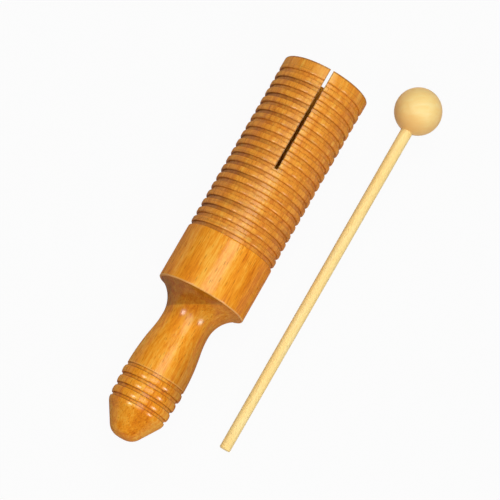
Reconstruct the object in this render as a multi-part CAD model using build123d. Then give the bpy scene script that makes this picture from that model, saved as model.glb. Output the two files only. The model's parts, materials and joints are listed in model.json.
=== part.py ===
from build123d import *
from math import asin, atan2, cos, degrees, hypot, pi, sqrt, tan
import os

# A hand-held guiro tone block and its beater, lying side by side on a table, in millimetres.
# The block lies along Y, with its open mouth towards +Y and its slot up.
# The origin is under the middle of the whole set, on the table.

# Drum: the ribbed and slotted resonator
DRUM_DIAMETER = 50.0
BORE_DIAMETER = 25.0
PLAIN_BAND = 31.7  # smooth stretch between the handle and the first groove
MOUTH_BAND = 7.2  # smooth stretch between the last groove and the mouth
GROOVE_COUNT = 19
GROOVE_WIDTH = 2.0
GROOVE_DEPTH = 1.2
RIB_WIDTH = 3.32
RIB_ROUND = 0.9
RIM_ROUND = 0.7  # outer edge at the handle end
MOUTH_ROUND = 0.8  # both edges of the mouth
SLOT_WIDTH = 1.7
SLOT_LENGTH = 61.4

# Handle: one turning, from the spigot in the drum down to the knob
SPIGOT_DIAMETER = 28.4
SPIGOT_LENGTH = 29.7
SPIGOT_CHAMFER = 1.0
SHOULDER_DIAMETER = 47.2
NECK_DIAMETER = 27.2
NECK_DROP = 16.0  # shoulder to the narrowest place of the neck
GRIP_DIAMETER = 33.4
GRIP_LENGTH = 31.7  # neck to the first bead groove
NECK_HOLLOW = 10.0  # stretch below the neck before the hollow turns into the swell
BEAD_COUNT = 3
BEAD_WIDTH = 3.77
BEAD_GROOVE_WIDTH = 2.0
BEAD_GROOVE_DEPTH = 0.5  # below the end of the grip
BEAD_PROUD = 0.5  # crest of the first bead above the end of the grip
BEAD_CROWN = 0.35  # crest above the bead's own edges
BEAD_TAPER = 0.3  # each bead is this much less in radius than the one before
KNOB_DIAMETER = 32.0
KNOB_BAND = 1.6
KNOB_LENGTH = 16.8
KNOB_END_DIAMETER = 13.0
KNOB_ROUND = 5.0
KNOB_END_ROUND = 8.0

# Beater: a ball on a tapered stick
BALL_DIAMETER = 26.4
STICK_HEAD_DIAMETER = 6.8
STICK_END_DIAMETER = 6.2
STICK_END_CHAMFER = 0.5
BEATER_REACH = 211.0  # ball centre to the free end of the stick
STICK_SEAT = 4.0  # the stick goes this far past the ball's centre

# Fits
GLUE_GAP = 0.1  # between spigot and socket, on the radius
SPIGOT_END_GAP = 0.3  # the shoulder seats first
STICK_GAP = 0.05  # between stick and ball, on the radius

# How the set lies
BEATER_OFFSET = 51.4  # between the block's axis and the ball's centre
BALL_AHEAD = 14.5  # ball centre beyond the mouth
BEATER_TURN = -0.25  # degrees out of parallel with the block, about the upright

# A rounding takes at most this share of the straight stretch beside it
ROUND_SHARE = 0.9
CUT_MARGIN = 2.0

drum_radius = DRUM_DIAMETER / 2
bore_radius = BORE_DIAMETER / 2
ribbed_length = GROOVE_COUNT * GROOVE_WIDTH + (GROOVE_COUNT - 1) * RIB_WIDTH
drum_length = PLAIN_BAND + ribbed_length + MOUTH_BAND
spigot_radius = SPIGOT_DIAMETER / 2
socket_radius = spigot_radius + GLUE_GAP
socket_depth = SPIGOT_LENGTH + SPIGOT_END_GAP
beaded_length = BEAD_COUNT * BEAD_WIDTH + (BEAD_COUNT + 1) * BEAD_GROOVE_WIDTH
handle_length = NECK_DROP + GRIP_LENGTH + beaded_length + KNOB_LENGTH
ball_radius = BALL_DIAMETER / 2
stick_head_radius = STICK_HEAD_DIAMETER / 2
stick_end_radius = STICK_END_DIAMETER / 2


def turned(outline):
    """A solid of revolution about Y from the lines of its half section."""
    return revolve(make_face(outline), Axis.Y).solid()


def make_drum():
    """The tube with its grooves, the socket for the handle below and the slot through its upper wall."""
    groove_floor = drum_radius - GROOVE_DEPTH
    rib_round = min(RIB_ROUND, ROUND_SHARE * min(RIB_WIDTH / 2, GROOVE_DEPTH))
    section = [(socket_radius, 0, 0), (drum_radius, 0, RIM_ROUND)]
    for index in range(GROOVE_COUNT):
        low = PLAIN_BAND + index * (GROOVE_WIDTH + RIB_WIDTH)
        high = low + GROOVE_WIDTH
        section += [
            (drum_radius, low, rib_round),
            (groove_floor, low, 0),
            (groove_floor, high, 0),
            (drum_radius, high, rib_round),
        ]
    section += [
        (drum_radius, drum_length, MOUTH_ROUND),
        (bore_radius, drum_length, MOUTH_ROUND),
        (bore_radius, socket_depth, 0),
        (socket_radius, socket_depth, 0),
    ]
    points = [(radius, place) for radius, place, _ in section]
    rounds = [rounding for _, _, rounding in section]
    tube = turned(FilletPolyline(*points, radius=rounds, close=True))

    slot_cut = Box(
        SLOT_WIDTH,
        SLOT_LENGTH + CUT_MARGIN,
        drum_radius + CUT_MARGIN,
        align=(Align.CENTER, Align.MIN, Align.MIN),
    )
    return (tube - Pos(0, drum_length - SLOT_LENGTH, 0) * slot_cut).solid()


def bead_outline(start, end_radius):
    """The bead grooves and beads, from the end of the grip to the edge of the knob."""
    radius, place = start
    lines = []
    for index in range(BEAD_COUNT + 1):
        taper = index * BEAD_TAPER
        floor = GRIP_DIAMETER / 2 - BEAD_GROOVE_DEPTH - taper
        crest = GRIP_DIAMETER / 2 + BEAD_PROUD - taper
        far_edge = crest - BEAD_CROWN if index < BEAD_COUNT else end_radius
        bottom = place - BEAD_GROOVE_WIDTH
        lines.append(Polyline((radius, place), (floor, place), (floor, bottom), (far_edge, bottom)))
        radius, place = far_edge, bottom
        if index < BEAD_COUNT:
            next_place = place - BEAD_WIDTH
            lines.append(ThreePointArc((radius, place), (crest, place - BEAD_WIDTH / 2), (radius, next_place)))
            place = next_place
    return lines, (radius, place)


def knob_outline(start):
    """A short band, a blunt cone and a rounded end, from the last bead groove to the axis."""
    knob_radius, top = start
    tip = top - KNOB_LENGTH
    end_radius = KNOB_END_DIAMETER / 2
    half_angle = atan2(knob_radius - end_radius, KNOB_LENGTH - KNOB_BAND)
    knob_round = min(KNOB_ROUND, ROUND_SHARE * KNOB_BAND / tan(half_angle / 2))
    end_round = min(KNOB_END_ROUND, ROUND_SHARE * end_radius / tan(pi / 4 - half_angle / 2))
    cone = FilletPolyline(
        (knob_radius, top),
        (knob_radius, top - KNOB_BAND),
        (end_radius, tip),
        (0, tip),
        radius=[knob_round, end_round],
    )
    return cone, (0, tip)


def make_handle():
    """The handle's turning, with its shoulder at y = 0 and its spigot above it."""
    spigot_end = (0, SPIGOT_LENGTH)
    shoulder = (SHOULDER_DIAMETER / 2, 0)
    neck = (NECK_DIAMETER / 2, -NECK_DROP)
    grip_end = (GRIP_DIAMETER / 2, -NECK_DROP - GRIP_LENGTH)
    # Two arcs that leave both ends along the axis meet on the straight line between those ends.
    turn = Line(neck, grip_end) @ (NECK_HOLLOW / GRIP_LENGTH)

    spigot = Polyline(
        spigot_end,
        (spigot_radius - SPIGOT_CHAMFER, SPIGOT_LENGTH),
        (spigot_radius, SPIGOT_LENGTH - SPIGOT_CHAMFER),
        (spigot_radius, 0),
        shoulder,
    )
    cove = TangentArc(neck, shoulder, tangent=(0, 1))
    hollow = TangentArc(neck, turn, tangent=(0, -1))
    swell = TangentArc(grip_end, turn, tangent=(0, 1))
    beads, knob_edge = bead_outline(grip_end, KNOB_DIAMETER / 2)
    knob, tip = knob_outline(knob_edge)
    return turned([spigot, cove, hollow, swell, *beads, knob, Line(tip, spigot_end)])


def make_ball():
    """The ball about the origin, with its blind hole along -Y."""
    hole_radius = stick_head_radius + STICK_GAP
    hole_edge = (hole_radius, -sqrt(ball_radius**2 - hole_radius**2))
    hole_end = (0, STICK_SEAT)
    top = (0, ball_radius)
    hole = Polyline(hole_end, (hole_radius, STICK_SEAT), hole_edge)
    surface = ThreePointArc(hole_edge, (ball_radius, 0), top)
    return turned([hole, surface, Line(top, hole_end)])


def make_stick():
    """The stick along -Y, cylindrical inside the ball and tapering to its free end."""
    entry = -sqrt(ball_radius**2 - stick_head_radius**2)
    section = Polyline(
        (0, STICK_SEAT),
        (stick_head_radius, STICK_SEAT),
        (stick_head_radius, entry),
        (stick_end_radius, STICK_END_CHAMFER - BEATER_REACH),
        (stick_end_radius - STICK_END_CHAMFER, -BEATER_REACH),
        (0, -BEATER_REACH),
        close=True,
    )
    return turned(section)


# The beater leans until the ball and the lower edge of the stick's end both touch the table.
edge_reach = BEATER_REACH - STICK_END_CHAMFER
lean = asin(ball_radius / hypot(edge_reach, stick_end_radius)) - atan2(stick_end_radius, edge_reach)

# Places with the block's axis at x = 0 and its shoulder at y = 0, then moved to the middle of the set.
ball_place = drum_length + BALL_AHEAD
stick_end_place = ball_place - BEATER_REACH * cos(lean) - stick_end_radius
set_left = min(-drum_radius, BEATER_OFFSET - ball_radius)
set_right = max(drum_radius, BEATER_OFFSET + ball_radius)
set_back = min(-handle_length, stick_end_place)
set_front = max(drum_length, ball_place + ball_radius)
middle_x = (set_left + set_right) / 2
middle_y = (set_back + set_front) / 2

lay_block = Pos(-middle_x, -middle_y, drum_radius)
lay_ball = Pos(BEATER_OFFSET - middle_x, ball_place - middle_y, ball_radius)
lay_beater = lay_ball * Rot(0, 0, BEATER_TURN) * Rot(degrees(lean), 0, 0)

nodes = {
    "drum": lay_block * make_drum(),
    "handle": lay_block * make_handle(),
    "beater_stick": lay_beater * make_stick(),
    "beater_ball": lay_beater * make_ball(),
}

os.makedirs("parts", exist_ok=True)
for name, shape in nodes.items():
    export_step(shape, f"parts/{name}.step")
    box = shape.bounding_box()
    print(name, "from", box.min, "to", box.max)
print("mouth at y", drum_length - middle_y, "block axis at x", -middle_x, "cavity", drum_length - socket_depth)
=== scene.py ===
import json
from math import asin, atan2, hypot, pi, radians, sqrt

import bmesh
import bpy
from mathutils import Euler, Matrix, Quaternion, Vector


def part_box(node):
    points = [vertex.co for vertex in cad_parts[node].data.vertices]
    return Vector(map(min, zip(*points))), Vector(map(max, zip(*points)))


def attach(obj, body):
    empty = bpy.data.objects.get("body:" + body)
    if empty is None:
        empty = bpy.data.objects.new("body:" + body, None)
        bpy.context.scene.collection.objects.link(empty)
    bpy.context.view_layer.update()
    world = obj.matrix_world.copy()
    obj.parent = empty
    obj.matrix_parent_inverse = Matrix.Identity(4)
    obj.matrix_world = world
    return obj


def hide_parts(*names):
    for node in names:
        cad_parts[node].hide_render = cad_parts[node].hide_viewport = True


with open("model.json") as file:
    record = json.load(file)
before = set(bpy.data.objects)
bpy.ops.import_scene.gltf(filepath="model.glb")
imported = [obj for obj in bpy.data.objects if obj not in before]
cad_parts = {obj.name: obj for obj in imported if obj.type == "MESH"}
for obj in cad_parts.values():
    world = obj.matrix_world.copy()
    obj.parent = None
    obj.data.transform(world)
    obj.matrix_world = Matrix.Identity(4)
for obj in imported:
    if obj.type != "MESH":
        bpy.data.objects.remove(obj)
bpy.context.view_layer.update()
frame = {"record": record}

# A hand-held guiro tone block and its beater on a white table. Sizes are in millimetres, places in metres.
MM = 0.001
scene = bpy.context.scene

# Drum: what its box in the frame doesn't tell
PLAIN_BAND = 31.7
GROOVE_COUNT = 19
GROOVE_WIDTH = 2.0
GROOVE_DEPTH = 1.2
RIB_WIDTH = 3.32
RIB_ROUND = 0.9
RIM_ROUND = 0.7
MOUTH_ROUND = 0.8
SLOT_WIDTH = 1.7
SLOT_LENGTH = 61.4
SLOT_EDGE = 0.3  # sanded off the edges of the slot
CUT_MARGIN = 2.0

# Handle
SPIGOT_RADIUS = 14.2
SPIGOT_LENGTH = 29.7
SPIGOT_ROUND = 1.0
SPIGOT_GAP = 0.1
SPIGOT_END_GAP = 0.3
SHOULDER_RADIUS = 23.6
NECK_RADIUS = 13.6
NECK_DROP = 16.0
GRIP_RADIUS = 16.7
GRIP_LENGTH = 31.7
NECK_HOLLOW = 10.0
BEAD_COUNT = 3
BEAD_WIDTH = 3.77
BEAD_GROOVE_WIDTH = 2.0
BEAD_GROOVE_DEPTH = 0.5
BEAD_PROUD = 0.5
BEAD_CROWN = 0.35
BEAD_TAPER = 0.3
KNOB_RADIUS = 16.0
KNOB_BAND = 1.6
KNOB_LENGTH = 16.8
KNOB_END_RADIUS = 6.5
KNOB_ROUND = 5.0
KNOB_END_ROUND = 8.0

# Beater
STICK_HEAD_RADIUS = 3.4
STICK_END_RADIUS = 3.1
STICK_END_CHAMFER = 0.5
STICK_GAP = 0.05
STICK_SEAT = 4.0
BEATER_REACH = 211.0
BEATER_TURN = radians(-0.25)

# Meshes: how far the chisel strayed, and how the turnings are made
BLOCK_UNEVENNESS = 0.12
BALL_UNEVENNESS = 0.2
STICK_UNEVENNESS = 0.03
CHISEL_WAVES = 160.0  # per metre
SWEEP_RADIUS = 1.0  # metres
MERGE_DISTANCE = 0.004
CREASE_ANGLE = radians(38)

# Wood
RING_WIDTH = 3.4
RING_SWAY = 8.0
DRUM_PITH = (-46.0, 0.0, -38.0)  # middle of the tree's rings, from the block's axis
HANDLE_PITH = (30.0, 0.0, -44.0)
BALL_GRAIN_TURN = radians(-60)

# Light: the world's share, and how much of the table is plain white to the eye
WORLD_LIGHT = 0.14
TABLE_COLOUR = 0.4
TABLE_WHITE = 0.95
TABLE_HALF = 4.0  # metres
SIDE_DISTANCE = 2.2  # metres, to the lamps that light the matt colours
TOP_DISTANCE = 2.0  # metres, to the lamps that show in the lacquer

# The photograph's view, in millimetres and degrees
CAMERA_PLACE = (-19.8, -260.2, 1263.7)
CAMERA_AIM = (-10.0, 0.9, 0.0)
CAMERA_ROLL = 32.03
FOCAL_LENGTH = 172.92
SENSOR_WIDTH = 36.0

# Places from the frame
drum_low, drum_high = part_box("drum")
ball_low, ball_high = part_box("beater_ball")
drum_radius = (drum_high.x - drum_low.x) / 2 / MM
drum_length = (drum_high.y - drum_low.y) / MM
bore_radius = next(mount["dims"]["r_mm"] for mount in frame["record"]["mounts"] if mount["kind"] == "bore")
shoulder = Vector(((drum_low.x + drum_high.x) / 2, drum_low.y, (drum_low.z + drum_high.z) / 2))
ball_radius = (ball_high.x - ball_low.x) / 2 / MM
ball_reach = ball_radius * MM
ball_centre = Vector(((ball_low.x + ball_high.x) / 2, ball_high.y - ball_reach, ball_low.z + ball_reach))

# The beater leans until the ball and the lower edge of the stick's end both touch the table
edge_reach = BEATER_REACH - STICK_END_CHAMFER
beater_lean = asin(ball_radius / hypot(edge_reach, STICK_END_RADIUS)) - atan2(STICK_END_RADIUS, edge_reach)
beater_turn = Euler((beater_lean, 0.0, BEATER_TURN))
lay_block = Matrix.Translation(shoulder)
lay_beater = Matrix.Translation(ball_centre) @ beater_turn.to_matrix().to_4x4()


class Wire:
    """A socket of a node tree. Arithmetic on it adds Math nodes."""

    def __init__(self, nodes, socket):
        self.nodes = nodes
        self.socket = socket

    def other(self, output):
        """Another output of the same node."""
        return Wire(self.nodes, self.socket.node.outputs[output])

    def math(self, operation, *others):
        return self.nodes.add("ShaderNodeMath", {"operation": operation}, dict(enumerate((self, *others))))

    def __add__(self, other):
        return self.math("ADD", other)

    def __sub__(self, other):
        return self.math("SUBTRACT", other)

    def __mul__(self, other):
        return self.math("MULTIPLY", other)

    def __truediv__(self, other):
        return self.math("DIVIDE", other)

    def __rsub__(self, other):
        return self.nodes.add("ShaderNodeMath", {"operation": "SUBTRACT"}, {0: other, 1: self})

    def __rtruediv__(self, other):
        return self.nodes.add("ShaderNodeMath", {"operation": "DIVIDE"}, {0: other, 1: self})

    def __neg__(self):
        return self.math("MULTIPLY", -1.0)

    __radd__ = __add__
    __rmul__ = __mul__


class Nodes:
    """A node tree, filled by one method."""

    def __init__(self, tree):
        self.tree = tree

    def add(self, kind, settings=None, sockets=None, output=0):
        """Adds a node: first its settings, then its sockets' values or links. Gives one of its outputs."""
        node = self.tree.nodes.new(kind)
        for name, value in (settings or {}).items():
            if name == "items":
                while len(node.index_switch_items) < value:
                    node.index_switch_items.new()
            elif name == "stops":
                set_stops(node.color_ramp, value)
            else:
                setattr(node, name, value)
        for name, value in (sockets or {}).items():
            for one in value if isinstance(value, list) else [value]:
                if isinstance(one, Wire):
                    self.tree.links.new(one.socket, node.inputs[name])
                else:
                    node.inputs[name].default_value = one
        return Wire(self, node.outputs[output]) if node.outputs else node

    def split(self, vector):
        """The three numbers of a vector."""
        x = self.add("ShaderNodeSeparateXYZ", {}, {"Vector": vector}, "X")
        return x, x.other("Y"), x.other("Z")


def set_stops(ramp, stops):
    """Gives a colour ramp its stops, as (place, colour)."""
    while len(ramp.elements) < len(stops):
        ramp.elements.new(1.0)
    for element, (place, colour) in zip(ramp.elements, stops):
        element.position = place
        element.color = colour


# Turning: a section is drawn as (radius, place along the axis) and turned about the axis

def new_turning(name, sizes):
    """A geometry tree with one named input for each size. Gives its nodes and its inputs."""
    tree = bpy.data.node_groups.new(name, "GeometryNodeTree")
    tree.is_modifier = True
    tree.interface.new_socket("Geometry", in_out="OUTPUT", socket_type="NodeSocketGeometry")
    for size, value in sizes.items():
        kind = "NodeSocketInt" if isinstance(value, int) else "NodeSocketFloat"
        tree.interface.new_socket(size, in_out="INPUT", socket_type=kind)
    nodes = Nodes(tree)
    group = tree.nodes.new("NodeGroupInput")
    return nodes, {size: Wire(nodes, group.outputs[size]) for size in sizes}


def point(nodes, radius, place):
    return nodes.add("ShaderNodeCombineXYZ", {}, {"X": radius, "Y": place})


def pick(nodes, kind, values):
    """The value whose number in the list is the element's index."""
    sockets = {str(number): value for number, value in enumerate(values)}
    sockets["Index"] = nodes.add("GeometryNodeInputIndex")
    return nodes.add("GeometryNodeIndexSwitch", {"data_type": kind, "items": len(values)}, sockets)


def outline(nodes, corners, steps=5):
    """A line through corners of (radius, place, rounding)."""
    line = nodes.add("GeometryNodeMeshLine", {}, {"Count": len(corners)})
    places = pick(nodes, "VECTOR", [point(nodes, radius, place) for radius, place, _ in corners])
    placed = nodes.add("GeometryNodeSetPosition", {}, {"Geometry": line, "Position": places})
    curve = nodes.add("GeometryNodeMeshToCurve", {}, {"Mesh": placed})
    rounding = pick(nodes, "FLOAT", [rounding for _, _, rounding in corners])
    sockets = {"Curve": curve, "Count": steps, "Radius": rounding, "Limit Radius": True}
    return nodes.add("GeometryNodeFilletCurve", {"mode": "POLY"}, sockets)


def straight(nodes, start, end, steps):
    """A straight line between two (radius, place) points, in a number of steps."""
    ends = {"Start": point(nodes, *start), "End": point(nodes, *end)}
    line = nodes.add("GeometryNodeCurvePrimitiveLine", {}, ends)
    return nodes.add("GeometryNodeResampleCurve", {}, {"Curve": line, "Count": steps + 1})


def arc(nodes, start, middle, end, steps):
    points = {"Start": point(nodes, *start), "Middle": point(nodes, *middle), "End": point(nodes, *end)}
    return nodes.add("GeometryNodeCurveArc", {"mode": "POINTS"}, {**points, "Resolution": steps + 1})


def axial_arc(nodes, start, end, steps):
    """An arc that leaves its start along the axis."""
    out = end[0] - start[0]
    along = end[1] - start[1]
    # Half of the chord's angle, and the distance from the start to the arc's middle
    half_turn = out.math("ARCTAN2", along.math("ABSOLUTE")) / 2
    reach = (out * out + along * along).math("SQRT") / 2 / half_turn.math("COSINE")
    middle_out = reach * half_turn.math("SINE")
    middle_along = reach * half_turn.math("COSINE") * along.math("SIGN")
    return arc(nodes, start, (start[0] + middle_out, start[1] + middle_along), end, steps)


def repeated(nodes, curve, count, step):
    """Copies of a curve, each a step of (radius, place) beyond the last."""
    line = nodes.add("GeometryNodeMeshLine", {}, {"Count": count, "Offset": point(nodes, *step)})
    copies = nodes.add("GeometryNodeInstanceOnPoints", {}, {"Points": line, "Instance": curve})
    return nodes.add("GeometryNodeRealizeInstances", {}, {"Geometry": copies})


def axis_place(nodes):
    """Each point's distance from the axis, and its place along it."""
    x, y, z = nodes.split(nodes.add("GeometryNodeInputPosition"))
    return (x * x + z * z).math("SQRT"), y


def turned(nodes, curves, size, outside):
    """The curves turned about Y and joined. Where outside is 1, the chisel has left slight hollows."""
    # The section is swept round a wide ring, from a radius inside it, so it ends up about the axis
    section = nodes.add("GeometryNodeJoinGeometry", {}, {"Geometry": curves})
    inside_ring = {"Geometry": section, "Translation": (-SWEEP_RADIUS, 0.0, 0.0)}
    section = nodes.add("GeometryNodeTransform", {}, inside_ring)
    circle = {"Resolution": size["Segments"], "Radius": SWEEP_RADIUS}
    ring = nodes.add("GeometryNodeCurvePrimitiveCircle", {}, circle)
    mesh = nodes.add("GeometryNodeCurveToMesh", {}, {"Curve": ring, "Profile Curve": section})
    mesh = nodes.add("GeometryNodeTransform", {}, {"Geometry": mesh, "Rotation": (pi / 2, 0.0, 0.0)})
    mesh = nodes.add("GeometryNodeMergeByDistance", {}, {"Geometry": mesh, "Distance": MERGE_DISTANCE * MM})

    place = nodes.add("GeometryNodeInputPosition")
    waves = {"Vector": place, "W": size["Seed"], "Scale": CHISEL_WAVES, "Detail": 2.0}
    wave = nodes.add("ShaderNodeTexNoise", {"noise_dimensions": "4D"}, waves)
    hollow = wave * size["Unevenness"] * outside
    across = nodes.add("ShaderNodeVectorMath", {"operation": "MULTIPLY"}, {0: place, 1: (1.0, 0.0, 1.0)})
    outward = nodes.add("ShaderNodeVectorMath", {"operation": "NORMALIZE"}, {0: across})
    offset = nodes.add("ShaderNodeVectorMath", {"operation": "SCALE"}, {0: outward, "Scale": -hollow})
    return nodes.add("GeometryNodeSetPosition", {}, {"Geometry": mesh, "Offset": offset})


def finish_turning(nodes, geometry, finish):
    """Ends a tree: whole geometry, in its finish."""
    geometry = nodes.add("GeometryNodeRealizeInstances", {}, {"Geometry": geometry})
    geometry = nodes.add("GeometryNodeSetMaterial", {}, {"Geometry": geometry, "Material": finish})
    nodes.add("NodeGroupOutput", {}, {"Geometry": geometry})
    return nodes.tree


def make_piece(name, tree, sizes, lay, node, body):
    """Runs a tree with its sizes, keeps a plain mesh of the result and sets it in place of its CAD node."""
    piece = bpy.data.objects.new(name, bpy.data.meshes.new(name))
    scene.collection.objects.link(piece)
    turning = piece.modifiers.new("turning", "NODES")
    turning.node_group = tree
    for item in tree.interface.items_tree:
        if item.in_out == "INPUT":
            turning[item.identifier] = sizes[item.name]
    depsgraph = bpy.context.evaluated_depsgraph_get()
    mesh = bpy.data.meshes.new_from_object(piece.evaluated_get(depsgraph), depsgraph=depsgraph)
    piece.modifiers.remove(turning)
    piece.data = mesh
    mesh.name = name
    mesh.transform(lay)
    shell = bmesh.new()
    shell.from_mesh(mesh)
    bmesh.ops.remove_doubles(shell, verts=shell.verts, dist=MERGE_DISTANCE / 2 * MM)
    bmesh.ops.recalc_face_normals(shell, faces=shell.faces)
    shell.to_mesh(mesh)
    shell.free()
    mesh.polygons.foreach_set("use_smooth", [True] * len(mesh.polygons))
    mesh.set_sharp_from_angle(angle=CREASE_ANGLE)
    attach(piece, body)
    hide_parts(node)


def make_drum(finish):
    """The ribbed tube, with the socket for the handle at one end and the slot cut in from the other."""
    sizes = {
        "Radius": drum_radius * MM,
        "Length": drum_length * MM,
        "Bore radius": bore_radius * MM,
        "Socket radius": (SPIGOT_RADIUS + SPIGOT_GAP) * MM,
        "Socket depth": (SPIGOT_LENGTH + SPIGOT_END_GAP) * MM,
        "Plain band": PLAIN_BAND * MM,
        "Groove count": GROOVE_COUNT,
        "Groove width": GROOVE_WIDTH * MM,
        "Groove depth": GROOVE_DEPTH * MM,
        "Rib width": RIB_WIDTH * MM,
        "Rib round": RIB_ROUND * MM,
        "Rim round": RIM_ROUND * MM,
        "Mouth round": MOUTH_ROUND * MM,
        "Slot width": SLOT_WIDTH * MM,
        "Slot length": SLOT_LENGTH * MM,
        "Slot edge": SLOT_EDGE * MM,
        "Unevenness": BLOCK_UNEVENNESS * MM,
        "Seed": 3,
        "Segments": 192,
    }
    nodes, size = new_turning("ribbed drum", sizes)
    radius, bore, socket = size["Radius"], size["Bore radius"], size["Socket radius"]
    length, depth = size["Length"], size["Socket depth"]
    groove, rib, rounding = size["Groove width"], size["Rib width"], size["Rib round"]
    floor = radius - size["Groove depth"]
    band = size["Plain band"]
    pitch = groove + rib
    last_rib = band + pitch * size["Groove count"] - rib / 2

    one_groove = outline(nodes, [
        (radius, band - rib / 2, 0.0),
        (radius, band, rounding),
        (floor, band, 0.0),
        (floor, band + groove, 0.0),
        (radius, band + groove, rounding),
        (radius, band + groove + rib / 2, 0.0),
    ])
    section = [
        repeated(nodes, one_groove, size["Groove count"], (0.0, pitch)),
        outline(nodes, [(socket, 0.0, 0.0), (radius, 0.0, size["Rim round"]), (radius, pitch, 0.0)]),
        straight(nodes, (radius, pitch), (radius, band - rib / 2), steps=16),
        outline(nodes, [
            (radius, last_rib, 0.0),
            (radius, length, size["Mouth round"]),
            (bore, length, size["Mouth round"]),
            (bore, length - pitch, 0.0),
        ]),
        straight(nodes, (bore, length - pitch), (bore, depth), steps=12),
        outline(nodes, [(bore, depth, 0.0), (socket, depth, 0.0), (socket, 0.0, 0.0)]),
    ]
    to_axis, _ = axis_place(nodes)
    tube = turned(nodes, section, size, to_axis.math("GREATER_THAN", (floor + socket) / 2))

    # The saw's kerf goes down into the bore. A bar on its edge sands both sides of the slot.
    kerf = slot_cutter(nodes, size, size["Slot width"], radius + CUT_MARGIN * MM, radius / 2, 0.0)
    bar_width = size["Slot width"] + size["Slot edge"] * 4
    bar_middle = radius - size["Slot edge"] - size["Slot width"] / 2 + bar_width / sqrt(2)
    bar = slot_cutter(nodes, size, bar_width, bar_width, bar_middle, pi / 4)
    meshes = {"Mesh 1": tube, "Mesh 2": [kerf, bar]}
    cut = nodes.add("GeometryNodeMeshBoolean", {"solver": "MANIFOLD"}, meshes)
    tree = finish_turning(nodes, cut, finish)
    make_piece("drum_turning", tree, sizes, lay_block, "drum", "block")


def slot_cutter(nodes, size, width, height, middle, turn):
    """A block as long as the slot, reaching out of the mouth."""
    margin = CUT_MARGIN * MM
    slot = size["Slot length"]
    extent = nodes.add("ShaderNodeCombineXYZ", {}, {"X": width, "Y": slot + margin, "Z": height})
    block = nodes.add("GeometryNodeMeshCube", {}, {"Size": extent})
    place = nodes.add("ShaderNodeCombineXYZ", {}, {"Y": size["Length"] - (slot - margin) / 2, "Z": middle})
    sockets = {"Geometry": block, "Translation": place, "Rotation": (0.0, turn, 0.0)}
    return nodes.add("GeometryNodeTransform", {}, sockets)


def make_handle(finish):
    """The handle's turning: spigot, flared neck, swelling grip, beads and knob."""
    sizes = {
        "Spigot radius": SPIGOT_RADIUS * MM,
        "Spigot length": SPIGOT_LENGTH * MM,
        "Spigot round": SPIGOT_ROUND * MM,
        "Shoulder radius": SHOULDER_RADIUS * MM,
        "Shoulder place": 0.0,
        "Neck radius": NECK_RADIUS * MM,
        "Neck drop": NECK_DROP * MM,
        "Grip radius": GRIP_RADIUS * MM,
        "Grip length": GRIP_LENGTH * MM,
        "Neck hollow": NECK_HOLLOW * MM,
        "Bead count": BEAD_COUNT,
        "Bead width": BEAD_WIDTH * MM,
        "Bead groove": BEAD_GROOVE_WIDTH * MM,
        "Bead groove depth": BEAD_GROOVE_DEPTH * MM,
        "Bead proud": BEAD_PROUD * MM,
        "Bead crown": BEAD_CROWN * MM,
        "Bead taper": BEAD_TAPER * MM,
        "Knob radius": KNOB_RADIUS * MM,
        "Knob band": KNOB_BAND * MM,
        "Knob length": KNOB_LENGTH * MM,
        "Knob end radius": KNOB_END_RADIUS * MM,
        "Knob round": KNOB_ROUND * MM,
        "Knob end round": KNOB_END_ROUND * MM,
        "Unevenness": BLOCK_UNEVENNESS * MM,
        "Seed": 11,
        "Segments": 144,
    }
    nodes, size = new_turning("turned handle", sizes)
    spigot, spigot_end = size["Spigot radius"], size["Spigot length"]
    flare = (size["Shoulder radius"], size["Shoulder place"])
    neck = (size["Neck radius"], flare[1] - size["Neck drop"])
    grip = (size["Grip radius"], neck[1] - size["Grip length"])
    # Two arcs that leave both ends along the axis meet on the straight line between those ends
    share = size["Neck hollow"] / size["Grip length"]
    turn = (neck[0] + (grip[0] - neck[0]) * share, neck[1] + (grip[1] - neck[1]) * share)

    groove, width, taper = size["Bead groove"], size["Bead width"], size["Bead taper"]
    floor = grip[0] - size["Bead groove depth"]
    crest = grip[0] + size["Bead proud"]
    edge = crest - size["Bead crown"]
    bead_top = grip[1] - groove
    bead_end = bead_top - width
    bead = nodes.add("GeometryNodeJoinGeometry", {}, {"Geometry": [
        outline(nodes, [(floor, grip[1], 0.0), (floor, bead_top, 0.0), (edge, bead_top, 0.0)]),
        arc(nodes, (edge, bead_top), (crest, bead_top - width / 2), (edge, bead_end), steps=10),
        outline(nodes, [(edge, bead_end, 0.0), (floor - taper, bead_end, 0.0)]),
    ]})
    last_floor = floor - taper * size["Bead count"]
    last_groove = grip[1] - (groove + width) * size["Bead count"]
    knob = size["Knob radius"]
    knob_top = last_groove - groove
    tip = knob_top - size["Knob length"]
    section = [
        outline(nodes, [
            (0.0, spigot_end, 0.0),
            (spigot, spigot_end, size["Spigot round"]),
            (spigot, flare[1], 0.0),
            (*flare, 0.0),
        ]),
        axial_arc(nodes, neck, flare, steps=20),
        axial_arc(nodes, neck, turn, steps=12),
        axial_arc(nodes, grip, turn, steps=24),
        outline(nodes, [(*grip, 0.0), (floor, grip[1], 0.0)]),
        repeated(nodes, bead, size["Bead count"], (-taper, -groove - width)),
        outline(nodes, [(last_floor, last_groove, 0.0), (last_floor, knob_top, 0.0), (knob, knob_top, 0.0)]),
        outline(nodes, [
            (knob, knob_top, 0.0),
            (knob, knob_top - size["Knob band"], size["Knob round"]),
            (size["Knob end radius"], tip, size["Knob end round"]),
            (0.0, tip, 0.0),
        ], steps=12),
    ]
    _, along = axis_place(nodes)
    handle = turned(nodes, section, size, along.math("LESS_THAN", flare[1] - MERGE_DISTANCE * MM))
    tree = finish_turning(nodes, handle, finish)
    make_piece("handle_turning", tree, sizes, lay_block, "handle", "block")


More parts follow.
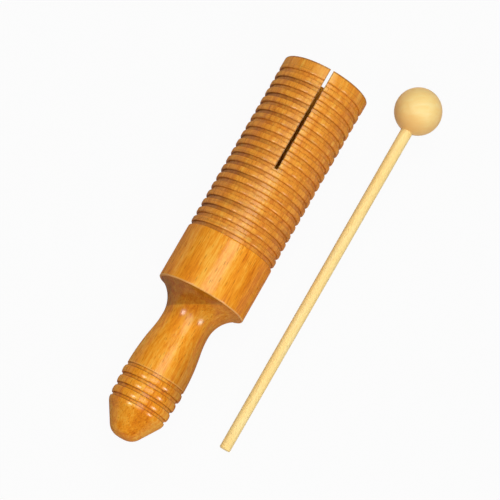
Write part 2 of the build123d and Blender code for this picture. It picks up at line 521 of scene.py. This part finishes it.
def make_ball(finish):
    """The ball, with its blind hole for the stick."""
    sizes = {
        "Radius": ball_radius * MM,
        "Hole radius": (STICK_HEAD_RADIUS + STICK_GAP) * MM,
        "Hole end": STICK_SEAT * MM,
        "Unevenness": BALL_UNEVENNESS * MM,
        "Seed": 5,
        "Segments": 96,
    }
    nodes, size = new_turning("beater ball", sizes)
    radius, hole = size["Radius"], size["Hole radius"]
    mouth = -(radius * radius - hole * hole).math("SQRT")
    section = [
        outline(nodes, [(0.0, size["Hole end"], 0.0), (hole, size["Hole end"], 0.0), (hole, mouth, 0.0)]),
        arc(nodes, (hole, mouth), (radius, 0.0), (0.0, radius), steps=64),
    ]
    to_axis, _ = axis_place(nodes)
    ball = turned(nodes, section, size, to_axis.math("GREATER_THAN", hole + MERGE_DISTANCE * MM))
    tree = finish_turning(nodes, ball, finish)
    make_piece("ball_turning", tree, sizes, lay_beater, "beater_ball", "beater")


def make_stick(finish):
    """The tapered stick, from its seat in the ball to its sawn end."""
    sizes = {
        "Head radius": STICK_HEAD_RADIUS * MM,
        "End radius": STICK_END_RADIUS * MM,
        "Seat": STICK_SEAT * MM,
        "Entry": -sqrt(ball_radius**2 - STICK_HEAD_RADIUS**2) * MM,
        "Reach": BEATER_REACH * MM,
        "Chamfer": STICK_END_CHAMFER * MM,
        "Unevenness": STICK_UNEVENNESS * MM,
        "Seed": 7,
        "Segments": 48,
    }
    nodes, size = new_turning("beater stick", sizes)
    head, end, chamfer = size["Head radius"], size["End radius"], size["Chamfer"]
    entry = (head, size["Entry"])
    far = -size["Reach"]
    section = [
        outline(nodes, [(0.0, size["Seat"], 0.0), (head, size["Seat"], 0.0), (*entry, 0.0)]),
        straight(nodes, entry, (end, far + chamfer), steps=80),
        outline(nodes, [(end, far + chamfer, 0.0), (end - chamfer, far, 0.0), (0.0, far, 0.0)]),
    ]
    _, along = axis_place(nodes)
    stick = turned(nodes, section, size, along.math("LESS_THAN", entry[1]))
    tree = finish_turning(nodes, stick, finish)
    make_piece("stick_turning", tree, sizes, lay_beater, "beater_stick", "beater")


# Finishes: colours are written as a screen shows them, and each wood's tones stand at their places on a ramp

LACQUERED_TONES = (
    (0.2, (184, 88, 10)),
    (0.4, (224, 126, 20)),
    (0.56, (244, 154, 34)),
    (0.76, (252, 188, 72)),
)
LACQUERED_VESSELS = (160, 72, 10)
END_GRAIN = (128, 56, 8)
# Dark brown for stain and for painted shade
STAIN_AND_SHADE = (104, 40, 6)
PALE_WEAR_AND_SHEEN = (255, 206, 128)
PALE_TONES = (
    (0.28, (254, 210, 124)),
    (0.5, (255, 222, 144)),
    (0.72, (255, 232, 166)),
)
PALE_VESSELS = (222, 164, 92)
# Orange for painted shade on the beater
PAINTED_SHADE_ORANGE = (255, 190, 106)


def paint(red, green, blue):
    """A colour as a screen shows it, from 0 to 255, as linear light."""
    def linear(value):
        share = value / 255
        return share / 12.92 if share <= 0.04045 else ((share + 0.055) / 1.055) ** 2.4
    return (linear(red), linear(green), linear(blue), 1.0)


def new_finish(name):
    """A material, its nodes, and the inputs of its Principled shader."""
    material = bpy.data.materials.new(name)
    material.use_nodes = True
    return material, Nodes(material.node_tree), material.node_tree.nodes["Principled BSDF"].inputs


def feed(nodes, inputs, wires):
    """Links what changes over a surface to the shader."""
    for name, wire in wires.items():
        nodes.tree.links.new(wire.socket, inputs[name])


def own_place(nodes, centre, turn):
    """Millimetres from a piece's own centre, with Y along its grain."""
    objects = nodes.add("ShaderNodeTexCoord", {}, {}, "Object")
    own = {"Vector": objects, "Location": tuple(centre), "Rotation": tuple(turn), "Scale": (MM, MM, MM)}
    return nodes.add("ShaderNodeMapping", {"vector_type": "TEXTURE"}, own)


def stretch(nodes, place, across, along):
    """Places scaled across and along the grain."""
    scaled = {0: place, 1: (across, along, across)}
    return nodes.add("ShaderNodeVectorMath", {"operation": "MULTIPLY"}, scaled)


def noise(nodes, place, seed, detail=3.0, roughness=0.5):
    sockets = {"Vector": place, "W": seed, "Scale": 1.0, "Detail": detail, "Roughness": roughness}
    return nodes.add("ShaderNodeTexNoise", {"noise_dimensions": "4D"}, sockets)


def between(nodes, value, low, high):
    """0 at low, 1 at high, smooth between them."""
    sockets = {"Value": value, "From Min": low, "From Max": high}
    return nodes.add("ShaderNodeMapRange", {"interpolation_type": "SMOOTHSTEP"}, sockets)


def toned(nodes, tone, tones):
    """A colour picked by a tone."""
    stops = [(place, paint(*colour)) for place, colour in tones]
    return nodes.add("ShaderNodeValToRGB", {"stops": stops}, {"Fac": tone}, "Color")


def mixed(nodes, factor, first, second):
    """A colour, with a second one over it by the factor."""
    sockets = {"Factor": factor, 6: first, 7: paint(*second)}
    return nodes.add("ShaderNodeMix", {"data_type": "RGBA"}, sockets, 2)


def facing_parts(nodes):
    """How much a surface faces along X, Y and Z."""
    return nodes.split(nodes.add("ShaderNodeTexCoord", {}, {}, "Normal"))


def pores(nodes, place, across, along, width, share):
    """Short dark vessels along the grain, in a share of the cells of a stretched pattern."""
    cells = {"Vector": stretch(nodes, place, across, along), "Scale": 1.0}
    to_pore = nodes.add("ShaderNodeTexVoronoi", {}, cells, "Distance")
    chance = nodes.add("ShaderNodeSeparateColor", {}, {"Color": to_pore.other("Color")}, "Red")
    return (1 - between(nodes, to_pore, width / 2, width)) * chance.math("LESS_THAN", share)


def lacquered_wood(name, pith, seed, thirst, marks):
    """Honey-brown hardwood under clear lacquer, its grain along the block and its ends darker by thirst."""
    material, nodes, inputs = new_finish(name)
    place = own_place(nodes, shoulder, (0.0, 0.0, 0.0))

    sway = noise(nodes, stretch(nodes, place, 0.06, 0.014), seed, 2.0) * RING_SWAY
    flat = stretch(nodes, place, 1.0, 0.0)
    from_pith = nodes.add("ShaderNodeVectorMath", {"operation": "DISTANCE"}, {0: flat, 1: pith}, "Value")
    ring = ((from_pith + sway) / RING_WIDTH).math("FRACT")
    late_wood = between(nodes, ring, 0.3, 0.9) * between(nodes, ring, 1.0, 0.92)
    patches = noise(nodes, stretch(nodes, place, 0.11, 0.012), seed + 1.3, 2.0)
    streaks = noise(nodes, stretch(nodes, place, 0.5, 0.035), seed + 2.1, 3.0, 0.55)
    fibres = noise(nodes, stretch(nodes, place, 1.5, 0.16), seed + 3.7, 3.0, 0.65)
    # The chisel's fine rings go round the axis
    chisel = noise(nodes, stretch(nodes, place, 0.03, 0.8), seed + 5.3, 3.0, 0.65)
    _, forward, upward = facing_parts(nodes)
    # Faces that point straight up are painted paler: a painted highlight on the tops
    painted_top_light = between(nodes, upward, 0.92, 1.0)
    tone = patches * 0.5 + streaks * 0.45 + fibres * 0.75 + chisel * 0.1 - late_wood * 0.06 - 0.345
    colour = toned(nodes, tone + painted_top_light * 0.08, LACQUERED_TONES)

    vessels = pores(nodes, place, across=1.1, along=0.16, width=0.3, share=0.6)
    colour = mixed(nodes, vessels * 0.5, colour, LACQUERED_VESSELS)
    end_grain = between(nodes, forward.math("ABSOLUTE"), 0.55, 0.95)
    colour = mixed(nodes, end_grain * thirst, colour, END_GRAIN)
    dark, wear_and_sheen, lacquer = marks(nodes, place, chisel)
    cloud = noise(nodes, stretch(nodes, place, 0.25, 0.18), seed + 4.1, 3.0)
    # The dark marks are partly stain and partly painted shade
    colour = mixed(nodes, dark * (0.6 + cloud * 0.8), colour, STAIN_AND_SHADE)
    # Paler where worn, and where a sheen or highlight is painted on
    colour = mixed(nodes, wear_and_sheen, colour, PALE_WEAR_AND_SHEEN)

    height = fibres * 0.3 + chisel * 0.5 - vessels * 0.8
    bump = {"Strength": 0.35, "Distance": 0.12 * MM, "Height": height}
    feed(nodes, inputs, {
        "Base Color": colour,
        "Roughness": 0.42 + cloud * 0.16 + vessels * 0.1,
        "Coat Weight": lacquer * (0.11 - vessels * 0.05),
        "Normal": nodes.add("ShaderNodeBump", {}, bump),
    })
    inputs["Specular IOR Level"].default_value = 0.0
    inputs["Coat IOR"].default_value = 2.8
    inputs["Coat Roughness"].default_value = 0.22
    return material


# Marks and painted shade on the block, placed in millimetres: y from the shoulder towards the mouth, x and z
# from the axis

def corner_stain(nodes, step, width):
    """How much darker the two inner corners of a groove are, by the distance from its first wall."""
    first = 1 - between(nodes, step, 0.1, 0.6)
    return first.math("MAXIMUM", between(nodes, step, width - 0.7, width - 0.1))


def slot_stain(nodes, x, y, z, shade_toward_mouth):
    """Painted shade on the walls of the slot, darker towards the mouth, and darker along its upper edges."""
    half_slot = SLOT_WIDTH / 2
    slot_end = drum_length - SLOT_LENGTH
    shaded_walls = between(nodes, x.math("ABSOLUTE"), half_slot + 0.6, half_slot + 0.35)
    shaded_walls = shaded_walls * between(nodes, z, 8.0, 10.0) * between(nodes, y, slot_end - 0.4, slot_end)
    lip = between(nodes, z, drum_radius - 2.0, drum_radius - 1.5)
    return shaded_walls * (0.25 + shade_toward_mouth * 0.45).math("MAXIMUM", lip * 0.7)


def drum_marks(nodes, place, chisel):
    """On the drum: how dark the stain and painted shade are, how pale the wear and painted sheen on the ribs
    and rim are, and where there is lacquer.
    """
    x, y, z = nodes.split(place)
    radius = (x * x + z * z).math("SQRT")
    outer = between(nodes, radius, drum_radius - GROOVE_DEPTH * 1.8, drum_radius - GROOVE_DEPTH * 1.2)
    ribbed = between(nodes, y, PLAIN_BAND - 0.5, PLAIN_BAND)
    inside = between(nodes, radius, bore_radius + 0.9, bore_radius + 0.3)
    # Painted shade in the slot and bore grows towards the mouth
    shade_toward_mouth = between(nodes, y, drum_length - 30.0, drum_length - 12.0)

    pitch = GROOVE_WIDTH + RIB_WIDTH
    count = (y - PLAIN_BAND) / pitch
    step = count.math("FRACT") * pitch
    burn = nodes.add("ShaderNodeTexWhiteNoise", {"noise_dimensions": "1D"}, {"W": count.math("FLOOR")})
    in_groove = between(nodes, radius, drum_radius - 0.2, drum_radius - GROOVE_DEPTH * 0.75)
    # Grooves are darker all round, and painted shade darkens them more towards -X, away from the key lamp
    shade = 0.2 + corner_stain(nodes, step, GROOVE_WIDTH) * 0.05 + between(nodes, x, 6.0, -20.0) * 0.24
    grooves = in_groove * outer * ribbed * shade * (0.5 + burn)
    scored = (0.08 + between(nodes, chisel, 0.5, 0.62) * 0.24) * ribbed * outer

    mouth_edge = between(nodes, y, drum_length - 1.3, drum_length - 0.7)
    mouth_edge = mouth_edge * between(nodes, radius, drum_radius - 1.0, drum_radius - 0.4)
    # The mouth band is painted darker towards +X: painted shade where the light falls off
    painted_mouth_shade = between(nodes, y, drum_length - 8.0, drum_length - 3.0) * between(nodes, x, 13.0, 23.0)
    dark = grooves.math("MAXIMUM", scored)
    dark = dark.math("MAXIMUM", mouth_edge * 0.6).math("MAXIMUM", painted_mouth_shade * 0.22 * outer)
    dark = dark.math("MAXIMUM", slot_stain(nodes, x, y, z, shade_toward_mouth))
    # The bore is painted darker inside as shade, more towards the mouth
    dark = dark.math("MAXIMUM", inside * (0.15 + shade_toward_mouth * 0.45))

    # The rim's rounded edge is painted paler: a painted highlight along the arris, and wear
    rim = between(nodes, y, 0.9, 0.4) * between(nodes, radius, drum_radius - 0.9, drum_radius - 0.5)
    # A painted sheen along the tops of the ribs
    painted_crest_sheen = between(nodes, z, 22.5, 24.5) * between(nodes, x, 4.0, -4.0)
    # The ribs are also painted a little paler all over, a painted sheen
    wear_and_sheen = ribbed * outer * (0.08 + painted_crest_sheen * 0.14)
    return dark, wear_and_sheen.math("MAXIMUM", rim * 0.5), 1 - inside


def handle_marks(nodes, place, _chisel):
    """On the handle: darker in the bead grooves, painted shadow and painted shade on the neck and cove, a
    pale edge of wear on the grip, and lacquer below the spigot.
    """
    x, y, _ = nodes.split(place)
    pitch = BEAD_GROOVE_WIDTH + BEAD_WIDTH
    top = -NECK_DROP - GRIP_LENGTH
    bottom = top - (BEAD_COUNT * pitch + BEAD_GROOVE_WIDTH)
    step = ((top - y) / pitch).math("FRACT") * pitch
    in_groove = between(nodes, step, BEAD_GROOVE_WIDTH + 0.25, BEAD_GROOVE_WIDTH)
    among = between(nodes, y, bottom - 0.1, bottom) * between(nodes, y, top + 0.1, top)
    dark = in_groove * among * (0.15 + corner_stain(nodes, step, BEAD_GROOVE_WIDTH) * 0.4)
    # The rim's shadow painted on the neck below the shoulder, and painted shade lower down the neck
    painted_neck_shadow = between(nodes, y - x * 0.5, -7.2, -5.2) * 0.54
    painted_neck_shadow = painted_neck_shadow.math("MAXIMUM", between(nodes, y, -19.0, -11.0) * 0.25)
    # Painted shade on the +X side of the cove
    painted_cove_shade = between(nodes, x, 2.0, 13.0) * between(nodes, y, -6.0, -12.0) * 0.36
    dark = dark.math("MAXIMUM", painted_neck_shadow).math("MAXIMUM", painted_cove_shade * between(nodes, y, bottom, top))
    edge = between(nodes, y, top + 0.9, top + 0.1) * between(nodes, y, top, top + 0.1) * 0.3
    return dark, edge, between(nodes, y, 0.1, 0.0)


def pale_wood(name, seed, turn, depth):
    """Pale, fine-grained wood under thin varnish. By the depth, its sides and its faces towards the stick
    are painted a deeper orange as shade.
    """
    material, nodes, inputs = new_finish(name)
    place = own_place(nodes, ball_centre, turn)
    patches = noise(nodes, stretch(nodes, place, 0.16, 0.05), seed, 2.0)
    streaks = noise(nodes, stretch(nodes, place, 0.6, 0.03), seed + 0.9, 3.0, 0.55)
    fibres = noise(nodes, stretch(nodes, place, 3.2, 0.1), seed + 1.9, 3.0, 0.6)
    tone = patches * 0.5 + streaks * 0.4 + fibres * 0.3 - 0.1
    colour = toned(nodes, tone, PALE_TONES)
    _, forward, upward = facing_parts(nodes)
    # The sides and the faces towards the stick are painted a deeper orange: painted shade
    painted_flank_shade = between(nodes, upward, 0.95, 0.2) * 0.6
    painted_back_shade = between(nodes, forward, -0.25, -0.85) * 0.6
    colour = mixed(nodes, painted_flank_shade.math("MAXIMUM", painted_back_shade) * depth, colour, PAINTED_SHADE_ORANGE)
    vessels = pores(nodes, place, across=1.8, along=0.2, width=0.22, share=0.3)
    colour = mixed(nodes, vessels * 0.05, colour, PALE_VESSELS)
    bump = {"Strength": 0.1, "Distance": 0.006 * MM, "Height": fibres * 0.4 - vessels}
    feed(nodes, inputs, {
        "Base Color": colour,
        "Roughness": 0.5 + fibres * 0.14,
        "Normal": nodes.add("ShaderNodeBump", {}, bump),
    })
    inputs["Specular IOR Level"].default_value = 0.25
    inputs["Coat Weight"].default_value = 0.1
    inputs["Coat Roughness"].default_value = 0.3
    return material


# Table, light and camera

def add_table():
    """A white table that keeps a faint shadow of the set."""
    material, nodes, inputs = new_finish("white_table")
    # Its white is only seen, so it isn't sampled as a lamp
    material.cycles.emission_sampling = "NONE"
    inputs["Base Color"].default_value = (TABLE_COLOUR, TABLE_COLOUR, TABLE_COLOUR, 1.0)
    inputs["Roughness"].default_value = 0.9
    glow = nodes.add("ShaderNodeEmission", {}, {"Color": (1.0, 1.0, 1.0, 1.0), "Strength": 1.0})
    camera_ray = nodes.add("ShaderNodeLightPath", {}, {}, "Is Camera Ray")
    seen = camera_ray + camera_ray.other("Is Glossy Ray") + camera_ray.other("Is Transmission Ray")
    shader = Wire(nodes, nodes.tree.nodes["Principled BSDF"].outputs["BSDF"])
    both = {"Fac": seen.math("MINIMUM", 1.0) * TABLE_WHITE, 1: shader, 2: glow}
    surface = nodes.add("ShaderNodeMixShader", {}, both)
    nodes.tree.links.new(surface.socket, nodes.tree.nodes["Material Output"].inputs["Surface"])
    mesh = bpy.data.meshes.new("table")
    half = TABLE_HALF
    square = [(-half, -half, 0), (half, -half, 0), (half, half, 0), (-half, half, 0)]
    mesh.from_pydata(square, [], [(0, 1, 2, 3)])
    mesh.materials.append(material)
    table = bpy.data.objects.new("table", mesh)
    scene.collection.objects.link(table)


def add_lamp(name, toward, distance, size, level, gloss=True, matt=True):
    """A soft lamp that lights a white surface facing it to a level: its gloss, its matt colour or both."""
    lamp = bpy.data.lights.new(name, "AREA")
    lamp.shape = "ELLIPSE"
    lamp.size, lamp.size_y = size
    lamp.energy = level * (pi * distance) ** 2
    holder = bpy.data.objects.new(name, lamp)
    direction = Vector(toward).normalized()
    holder.location = direction * distance
    holder.rotation_euler = direction.to_track_quat("Z", "Y").to_euler()
    holder.visible_camera = False
    holder.visible_glossy = gloss
    holder.visible_diffuse = matt
    scene.collection.objects.link(holder)


def light_scene():
    """A white room, a soft box above, lamps on three sides and two small ones for the lacquer's sparkle."""
    world = bpy.data.worlds.new("studio")
    scene.world = world
    world.use_nodes = True
    nodes = Nodes(world.node_tree)
    camera_ray = nodes.add("ShaderNodeLightPath", {}, {}, "Is Camera Ray")
    background = world.node_tree.nodes["Background"]
    strength = camera_ray * (1 - WORLD_LIGHT) + WORLD_LIGHT
    world.node_tree.links.new(strength.socket, background.inputs["Strength"])
    background.inputs["Color"].default_value = (1.0, 1.0, 1.0, 1.0)
    add_lamp("key", (0.62, -0.4, 0.67), SIDE_DISTANCE, size=(0.4, 0.4), level=0.2, gloss=False)
    add_lamp("window", (-0.3, 0.58, 0.76), SIDE_DISTANCE, size=(0.9, 0.9), level=0.24, gloss=False)
    add_lamp("front", (0.25, -0.52, 0.82), SIDE_DISTANCE, size=(0.6, 0.6), level=0.17, gloss=False)
    add_lamp("soft_box", (0.02, 0.05, 1.0), TOP_DISTANCE, size=(1.1, 1.9), level=0.49)
    add_lamp("left_sparkle", (-0.57, -0.2, 0.78), TOP_DISTANCE, size=(0.5, 0.5), level=0.41, matt=False)
    add_lamp("right_sparkle", (0.74, -0.2, 0.63), TOP_DISTANCE, size=(0.5, 0.5), level=0.41, matt=False)


def add_camera():
    """The photograph's view: from above, a little from the knob's side, turned in the hand."""
    lens = bpy.data.cameras.new("camera")
    lens.sensor_width = SENSOR_WIDTH
    lens.lens = FOCAL_LENGTH
    lens.clip_end = 20.0
    camera = bpy.data.objects.new("camera", lens)
    place = Vector(CAMERA_PLACE) * MM
    look = (Vector(CAMERA_AIM) * MM - place).to_track_quat("-Z", "Y")
    camera.location = place
    camera.rotation_mode = "QUATERNION"
    camera.rotation_quaternion = look @ Quaternion((0, 0, 1), radians(CAMERA_ROLL))
    scene.collection.objects.link(camera)
    scene.camera = camera


scene.view_settings.view_transform = "Standard"
add_camera()
add_table()
light_scene()
make_drum(lacquered_wood("drum_wood", DRUM_PITH, seed=1.0, thirst=0.15, marks=drum_marks))
make_handle(lacquered_wood("handle_wood", HANDLE_PITH, seed=21.0, thirst=0.0, marks=handle_marks))
make_stick(pale_wood("stick_wood", seed=41.0, turn=beater_turn, depth=0.0))
make_ball(pale_wood("ball_wood", seed=57.0, turn=Euler((0.0, 0.0, BALL_GRAIN_TURN)), depth=1.0))
